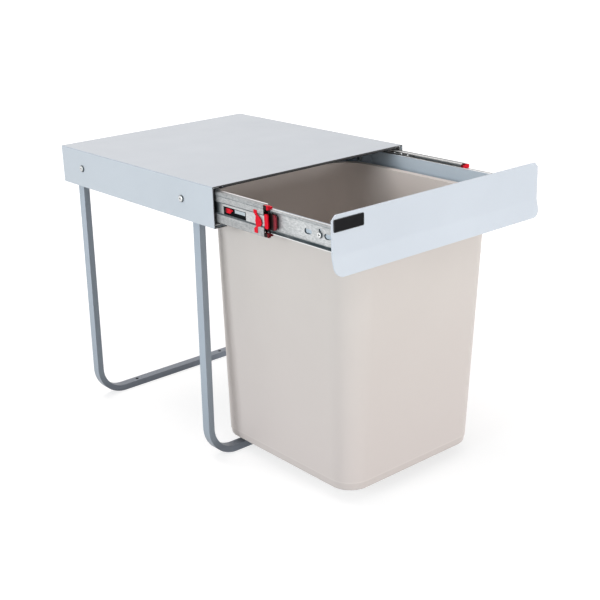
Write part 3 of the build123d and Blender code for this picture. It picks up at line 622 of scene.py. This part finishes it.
leaf_zinc = zinc("leaf_zinc", LEAF_CRYSTALS, LEAF_METALLIC)
tree, _, _, up = axes(leaf_zinc)
repaint(leaf_zinc, LEAF_TINT, LEAF_BLUE)
repaint(leaf_zinc, past(tree, up, LEAF_TOP), GREASE_AND_SHADE)
window_shade_black = moulded(
    "window_shade_black",
    PAD_BLACK,
    PAD_DEEP,
    roughness=0.8,
    grain=1200.0,
    grain_depth=0.00004,
    specular=0.05,
)
for side, way in WAYS.items():
    dress(leaf_zinc, f"{side}_detent_leaf")
    start = MIDDLE_FRONTS[side] + WINDOW_START
    # The pad: painted shade behind the window.
    pad = side_block(
        f"{side}_window_shade_pad",
        way,
        (PAD_NEAR, PAD_FAR),
        (start - PAD_MARGIN, start + WINDOW_LENGTH + PAD_MARGIN),
        (WINDOW_LOW - PAD_MARGIN, WINDOW_HIGH + PAD_MARGIN),
    )
    pick(pad, "EDGE", lies_across)
    bpy.ops.mesh.bevel(offset=PAD_ROUND / 1000, segments=4)
    close_piece(pad, f"{side}_middle", window_shade_black)

# Screws, nuts and studs: turned steel with a thinner, brighter zinc than the rails. The
# screws of the slides are driven home, with painted shade round each head's foot and in its
# recess, and a painted highlight on its crown. A head is the side place and radius of its
# foot, then of its recess.
SKIRT_SCREWS = (-0.3, 232.8)
SKIRT_HEAD = (155.5, 3.9, 157.2, 1.9)
RAIL_SCREWS = (-237.0, -0.7)
RAIL_HEAD = (142.5, 3.35, 150.0, 0.9)
SCREW_CRYSTALS = 900.0
SCREW_METALLIC = 0.9
CROWN_START = 2.0
CROWN_END = 3.0
CROWN_SHINE = 0.7
HEAD_REACH = 6.0
FOOT_SHADE = 0.85


def headed(name, places, head):
    """Screw zinc with a painted highlight on each head's crown, and painted shade as a dark
    line round its foot and in its recess.
    """
    foot, foot_radius, recess, recess_radius = head
    material = zinc(name, SCREW_CRYSTALS, SCREW_METALLIC)
    tree, across, along, up = axes(material)
    sideways = math_node(tree, "ABSOLUTE", across)
    above = beyond(tree, up, SLIDE_Z)
    for place in places:
        far = distance(tree, beyond(tree, along, place), above)
        # Painted highlight on the crown, then painted shade in the recess and round the foot.
        repaint(material, fade(tree, far, CROWN_START, CROWN_END, CROWN_SHINE, 0.0), GLINT)
        inside = short_of(tree, far, recess_radius)
        repaint(material, overlap(tree, inside, short_of(tree, sideways, recess)), GREASE_AND_SHADE)
        rim = math_node(
            tree, "MAXIMUM", past(tree, far, foot_radius), short_of(tree, sideways, foot)
        )
        rim = overlap(tree, rim, short_of(tree, far, HEAD_REACH))
        repaint(material, math_node(tree, "MULTIPLY", rim, FOOT_SHADE), GREASE_AND_SHADE)
    return material


screw_zinc = zinc("screw_zinc", SCREW_CRYSTALS, SCREW_METALLIC)
dress(screw_zinc, "leg_screws", "inner_rail_nuts", "panel_studs", "panel_nuts")
dress(headed("skirt_screw_zinc", SKIRT_SCREWS, SKIRT_HEAD), "slide_screws")
dress(headed("rail_screw_zinc", RAIL_SCREWS, RAIL_HEAD), "inner_rail_screws")

# The plastic parts of the slides: glossy red end caps, pushed over the front of the middle
# rails, and black rear buffers. The left cap's tongue, the right cap's part near the rail's
# end, the caps' lower and top tabs and the plungers' rears are painted deep red to black as
# painted shade, where the light hardly reaches.
RED = (0.76, 0.004, 0.024)
RED_SHADED = (0.64, 0.003, 0.016)
RED_DEEP = (0.160, 0.003, 0.008)
RED_DARK = (0.006, 0.001, 0.001)
TONGUE_RED = (0.320, 0.030, 0.045)
TONGUE_PLACE = 148.3
TONGUE_LENGTH = 17.0
TONGUE_FADE = 5.5
ROOT_LENGTH = 4.5
ROOT_SOFT = 1.0
TAB_FACE = 149.3
TAB_RISE = 13.2
TAB_DARK = 5.8
TAB_SOFT = 1.2
PLUNGER_GAP = 3.0
PLUNGER_SHADE = (0.060, 0.001, 0.004)
PLUNGER_SHADE_START = 4.5
PLUNGER_SHADE_END = 1.0
BUFFER_BLACK = (0.030, 0.030, 0.032)
BUFFER_DEEP = (0.018, 0.018, 0.020)


def cap_red(side):
    """The red plastic of one side's end cap and plunger, with painted shade on the left
    tongue, near the rail's end on the right, on the tabs and on the plunger's rear.
    """
    red = moulded(
        f"red_plastic_{side}",
        RED,
        RED_SHADED,
        roughness=0.42,
        grain=1500.0,
        grain_depth=0.00003,
        specular=0.12,
    )
    tree, across, along, up = axes(red)
    sideways = math_node(tree, "ABSOLUTE", across)
    off_middle = math_node(tree, "ABSOLUTE", beyond(tree, up, SLIDE_Z))
    front = MIDDLE_FRONTS[side]
    ahead = short_of(tree, along, front)
    # Painted shade: deep red to black on the left tongue, deep red near the rail's end on the
    # right.
    if side == "left":
        tip = front - TONGUE_LENGTH
        tongue = overlap(
            tree, short_of(tree, sideways, TONGUE_PLACE), short_of(tree, off_middle, TAB_RISE)
        )
        depth = fade(tree, along, tip, tip + TONGUE_FADE)
        repaint(red, tongue, blend_colour(tree, depth, TONGUE_RED, RED_DARK))
    else:
        root = fade(tree, along, front - ROOT_LENGTH, front - ROOT_LENGTH + ROOT_SOFT)
        repaint(red, overlap(tree, root, ahead), RED_DEEP)
    # Painted shade on the lower tab, the top tab's outer face and the plunger's rear.
    low_tab = short_of(tree, up, SLIDE_Z - TAB_RISE)
    repaint(red, overlap(tree, low_tab, ahead), RED_DEEP)
    tab = overlap(
        tree,
        past(tree, sideways, TAB_FACE),
        past(tree, off_middle, TAB_RISE),
        fade(tree, along, front - TAB_DARK, front - TAB_DARK + TAB_SOFT),
        ahead,
    )
    repaint(red, tab, RED_DARK)
    rear = front + WINDOW_START + WINDOW_LENGTH - PLUNGER_GAP
    shaded = fade(tree, along, rear - PLUNGER_SHADE_START, rear - PLUNGER_SHADE_END)
    repaint(red, shaded, PLUNGER_SHADE)
    return red


red_plastics = {side: cap_red(side) for side in WAYS}
black_plastic = moulded(
    "black_plastic",
    BUFFER_BLACK,
    BUFFER_DEEP,
    roughness=0.55,
    grain=1200.0,
    grain_depth=0.00005,
)
for side in WAYS:
    dress(red_plastics[side], f"{side}_end_cap")
    dress(black_plastic, f"{side}_rear_buffer")

# The plunger of each detent: a round nosed red slider in the rear of the window, with a
# dished head and a thin stem that reaches over the leaf. It is drawn in full here, in
# place of the plain solid.
PLUNGER_LENGTH = 11.0
PLUNGER_HEIGHT = 5.8
PLUNGER_MIDDLE = 339.7
PLUNGER_NEAR = 148.2
PLUNGER_FAR = 149.5
PLUNGER_NOSE = 2.7
PLUNGER_EDGE = 0.55
DISH_MARGIN = 0.9
DISH_DEPTH = 0.35
STEM_LENGTH = 3.6
STEM_HEIGHT = 2.0
STEM_MIDDLE = 340.9
STEM_FAR = 148.9
STEM_OVERLAP = 1.0
STEM_ROUND = 0.8
for side, way in WAYS.items():
    rear = MIDDLE_FRONTS[side] + WINDOW_START + WINDOW_LENGTH - PLUNGER_GAP
    plunger = side_block(
        f"{side}_plunger",
        way,
        (PLUNGER_NEAR, PLUNGER_FAR),
        (rear - PLUNGER_LENGTH, rear),
        (PLUNGER_MIDDLE - PLUNGER_HEIGHT / 2, PLUNGER_MIDDLE + PLUNGER_HEIGHT / 2),
    )
    pick(plunger, "EDGE", lies_across)
    bpy.ops.mesh.bevel(offset=PLUNGER_NOSE / 1000, segments=8)
    pick(plunger, "FACE", lambda face: face.normal.x * way > 0.9)
    bpy.ops.mesh.bevel(offset=PLUNGER_EDGE / 1000, segments=4)
    pick(plunger, "FACE", lambda face: face.normal.x * way > 0.999 and len(face.verts) > 4)
    bpy.ops.mesh.inset(thickness=DISH_MARGIN / 1000)
    bpy.ops.transform.translate(value=(-way * DISH_DEPTH / 1000, 0, 0))
    close_piece(plunger, f"{side}_middle", red_plastics[side])
    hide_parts(f"{side}_detent_plunger")
    neck = rear - PLUNGER_LENGTH + STEM_OVERLAP
    stem = side_block(
        f"{side}_plunger_stem",
        way,
        (PLUNGER_NEAR, STEM_FAR),
        (neck - STEM_LENGTH, neck),
        (STEM_MIDDLE - STEM_HEIGHT / 2, STEM_MIDDLE + STEM_HEIGHT / 2),
    )
    half_way = (neck - STEM_LENGTH / 2) / 1000
    pick(stem, "EDGE", lambda edge: lies_across(edge) and middle(edge).y < half_way)
    bpy.ops.mesh.bevel(offset=STEM_ROUND / 1000, segments=4)
    close_piece(stem, f"{side}_middle", red_plastics[side])

# The carriage: four folded angles in a rectangle, screwed to the inner rails, coated like
# the cover. Its ledges carry the bin's rim.
CARRIAGE_GREY = (0.450, 0.515, 0.570)
carriage_coat = powder_coat("carriage_coat", CARRIAGE_GREY, gloss=0.40, cloud=0.03)
dress(carriage_coat, "carriage_front_bar", "carriage_rear_bar")
dress(carriage_coat, "left_carriage_side", "right_carriage_side")

# The front panel: one steel sheet whose lower edge is bent out as a finger pull, coated
# like the cover and held to the carriage's front bar by studs and nuts.
PANEL_GREY = (0.560, 0.607, 0.664)
panel_coat = powder_coat("panel_coat", PANEL_GREY, gloss=0.52)
dress(panel_coat, "front_panel")

# The badge: a small blank plate, pressed from thin sheet and glued to the panel. Its sunk
# field is black lacquer, and its raised rim is a worn dark grey.
BADGE_BLACK = (0.005, 0.005, 0.006)
BADGE_DEEP = (0.003, 0.003, 0.004)
BADGE_RIM = (0.055, 0.056, 0.058)
RIM_FACE = -280.85
badge_black = moulded(
    "badge_black",
    BADGE_BLACK,
    BADGE_DEEP,
    roughness=0.55,
    grain=1500.0,
    grain_depth=0.00001,
    specular=0.08,
)
tree, _, along, _ = axes(badge_black)
repaint(badge_black, short_of(tree, along, RIM_FACE), BADGE_RIM)
dress(badge_black, "badge_plate")

# The bin: one injection moulding in warm light grey, hung by its rim in the carriage. It
# has a fine spark grain, is a little pinker low down, is painted lighter and pinker inside
# as painted light, and shows a faint line where its foot begins. Its inside is a rounded
# oblong that widens and leans upwards.
BIN_GREY = (0.608, 0.564, 0.530)
BIN_SHADED = (0.594, 0.549, 0.515)
BIN_BOTTOM = 15.3
BIN_HEIGHT = 325.3
LOW_TONE = (0.600, 0.543, 0.517)
LOW_FULL = 40.0
LOW_END = 260.0
INSIDE_PAINTED_LIGHT = (0.645, 0.590, 0.552)
INSIDE_HALF = 79.3
INSIDE_MIDDLE = -114.9
INSIDE_LENGTH = 93.8
INSIDE_LEAN = 12.0
INSIDE_CORNER = 28.8
INSIDE_WIDENING = 10.0
INSIDE_FLOOR = 1.0
FOOT_TOP = 26.6
FOOT_SOFT = 1.0
FOOT_TONE = (0.578, 0.523, 0.497)
FOOT_LINE = (0.632, 0.575, 0.546)
FOOT_LINE_LOW = -0.8
FOOT_LINE_HIGH = 0.3
FOOT_LINE_SOFT = 0.5
bin_plastic = moulded(
    "bin_plastic",
    BIN_GREY,
    BIN_SHADED,
    roughness=0.45,
    grain=1300.0,
    grain_depth=0.00006,
    drift=14.0,
)
tree, across, along, up = axes(bin_plastic)
repaint(bin_plastic, fade(tree, up, LOW_FULL, LOW_END, 1.0, 0.0), LOW_TONE)
# Painted light: the inside of the bin is painted lighter.
share = math_node(tree, "DIVIDE", beyond(tree, up, BIN_BOTTOM), BIN_HEIGHT / 1000)
sideways = beyond(tree, math_node(tree, "ABSOLUTE", across), INSIDE_HALF)
lean = math_node(tree, "MULTIPLY", share, INSIDE_LEAN / 1000)
lengthways = beyond(tree, math_node(tree, "ADD", along, lean), INSIDE_MIDDLE)
lengthways = beyond(tree, math_node(tree, "ABSOLUTE", lengthways), INSIDE_LENGTH)
reach = distance(
    tree, math_node(tree, "MAXIMUM", sideways), math_node(tree, "MAXIMUM", lengthways)
)
corner = math_node(tree, "MULTIPLY", share, INSIDE_WIDENING / 1000)
corner = math_node(tree, "ADD", corner, INSIDE_CORNER / 1000)
inside = math_node(tree, "LESS_THAN", reach, corner)
inside = overlap(tree, inside, past(tree, up, BIN_BOTTOM + INSIDE_FLOOR))
repaint(bin_plastic, inside, INSIDE_PAINTED_LIGHT)
repaint(bin_plastic, fade(tree, up, FOOT_TOP - FOOT_SOFT, FOOT_TOP, 1.0, 0.0), FOOT_TONE)
foot_line = beyond(tree, up, FOOT_TOP)
foot_line = band(tree, foot_line, FOOT_LINE_LOW, FOOT_LINE_HIGH, FOOT_LINE_SOFT)
repaint(bin_plastic, foot_line, FOOT_LINE)
dress(bin_plastic, "waste_bin")

# The studio: a pale floor under the legs, soft lamps and a white surround. The floor is
# white to the camera and in reflections, and keeps the shadow of the frame.
FLOOR_SIZE = 60.0
FLOOR_DROP = 0.0002
FLOOR_GREY = (0.40, 0.40, 0.40, 1)
FLOOR_NEAR = 0.5
FLOOR_FAR = 2.5
GLOW_NEAR = 0.70
GLOW_FAR = 1.0


def seen(tree):
    """One for rays from the camera, in reflections and through clear pieces."""
    path = tree.nodes.new("ShaderNodeLightPath")
    camera_ray, glossy_ray = path.outputs["Is Camera Ray"], path.outputs["Is Glossy Ray"]
    direct = math_node(tree, "MAXIMUM", camera_ray, glossy_ray)
    return math_node(tree, "MAXIMUM", direct, path.outputs["Is Transmission Ray"])


bpy.ops.mesh.primitive_plane_add(size=FLOOR_SIZE, location=(0, 0, -FLOOR_DROP))
floor = bpy.context.object
floor.name = "studio_floor"
floor_white, tree, shader, place = new_material("studio_floor")
shader.inputs["Base Color"].default_value = FLOOR_GREY
shader.inputs["Roughness"].default_value = 1.0
shader.inputs["Specular IOR Level"].default_value = 0.0
glow = tree.nodes.new("ShaderNodeEmission")
far = tree.nodes.new("ShaderNodeVectorMath")
far.operation = "LENGTH"
tree.links.new(place, far.inputs[0])
level = map_range(tree, far.outputs["Value"], FLOOR_NEAR, FLOOR_FAR, GLOW_NEAR, GLOW_FAR)
tree.links.new(math_node(tree, "MULTIPLY", seen(tree), level), glow.inputs["Strength"])
both = tree.nodes.new("ShaderNodeAddShader")
tree.links.new(shader.outputs["BSDF"], both.inputs[0])
tree.links.new(glow.outputs["Emission"], both.inputs[1])
tree.links.new(both.outputs["Shader"], tree.nodes["Material Output"].inputs["Surface"])
floor.data.materials.append(floor_white)

# The surround is white wherever it is seen. It lights the frame a little less from the
# front, so that faces turned to the front keep some shape.
WORLD_FRONT = 0.50
WORLD_REST = 0.60
FRONT_START = -0.8
FRONT_END = 0.3
world = bpy.data.worlds.new("studio")
bpy.context.scene.world = world
world.use_nodes = True
tree = world.node_tree
background = tree.nodes["Background"]
direction = tree.nodes.new("ShaderNodeSeparateXYZ")
outwards = tree.nodes.new("ShaderNodeTexCoord").outputs["Generated"]
tree.links.new(outwards, direction.inputs["Vector"])
level = map_range(
    tree, direction.outputs["Y"], FRONT_START, FRONT_END, WORLD_FRONT, WORLD_REST
)
level = map_range(tree, seen(tree), 0.0, 1.0, level, 1.0)
tree.links.new(level, background.inputs["Strength"])
background.inputs["Color"].default_value = (1, 1, 1, 1)

# The lamps: three square soft boxes that face the middle of the frame. The fill is a
# little cool and the top lamp a little warm, as the skirt and the top are in the photo.
AIM = (0, 0, 0.25)
PLAIN = (1.0, 1.0, 1.0)
COOL = (0.93, 0.99, 1.03)
WARM = (1.04, 0.93, 0.90)


def softbox(name, place, size, watts, colour):
    """A square lamp that faces the frame's middle."""
    bpy.ops.object.light_add(type="AREA", location=place)
    lamp = bpy.context.object
    lamp.name = name
    lamp.data.shape = "SQUARE"
    lamp.data.size = size
    lamp.data.energy = watts
    lamp.data.color = colour
    lamp.rotation_mode = "QUATERNION"
    lamp.rotation_quaternion = (Vector(AIM) - Vector(place)).to_track_quat("-Z", "Y")


softbox("key_right_front", (1.1, -3.7, 0.45), 1.1, 100, PLAIN)
softbox("fill_left", (-2.8, -0.15, 0.8), 1.3, 46, COOL)
softbox("top", (-0.2, 0.9, 2.5), 1.2, 27, WARM)

# The camera stands where the photograph was taken from. Its place and turn were worked
# out from the straight edges of the cover, the panel and the legs.
CAMERA_PLACE = (-0.89643, -1.10450, 0.67940)
CAMERA_YAW = -0.695214
CAMERA_PITCH = 0.343546
CAMERA_ROLL = -0.032823
CAMERA_LENS = 68.03
CAMERA_SENSOR = 36.0
bpy.ops.object.camera_add(location=CAMERA_PLACE)
camera = bpy.context.object
camera.name = "photo_camera"
camera.data.sensor_width = CAMERA_SENSOR
camera.data.lens = CAMERA_LENS
camera.data.clip_start = 0.01
turn = Matrix.Rotation(CAMERA_YAW, 3, "Z")
turn = turn @ Matrix.Rotation(math.pi / 2 - CAMERA_PITCH, 3, "X")
turn = turn @ Matrix.Rotation(CAMERA_ROLL, 3, "Z")
camera.rotation_mode = "QUATERNION"
camera.rotation_quaternion = turn.to_quaternion()
bpy.context.scene.camera = camera
bpy.context.scene.view_settings.view_transform = "Standard"
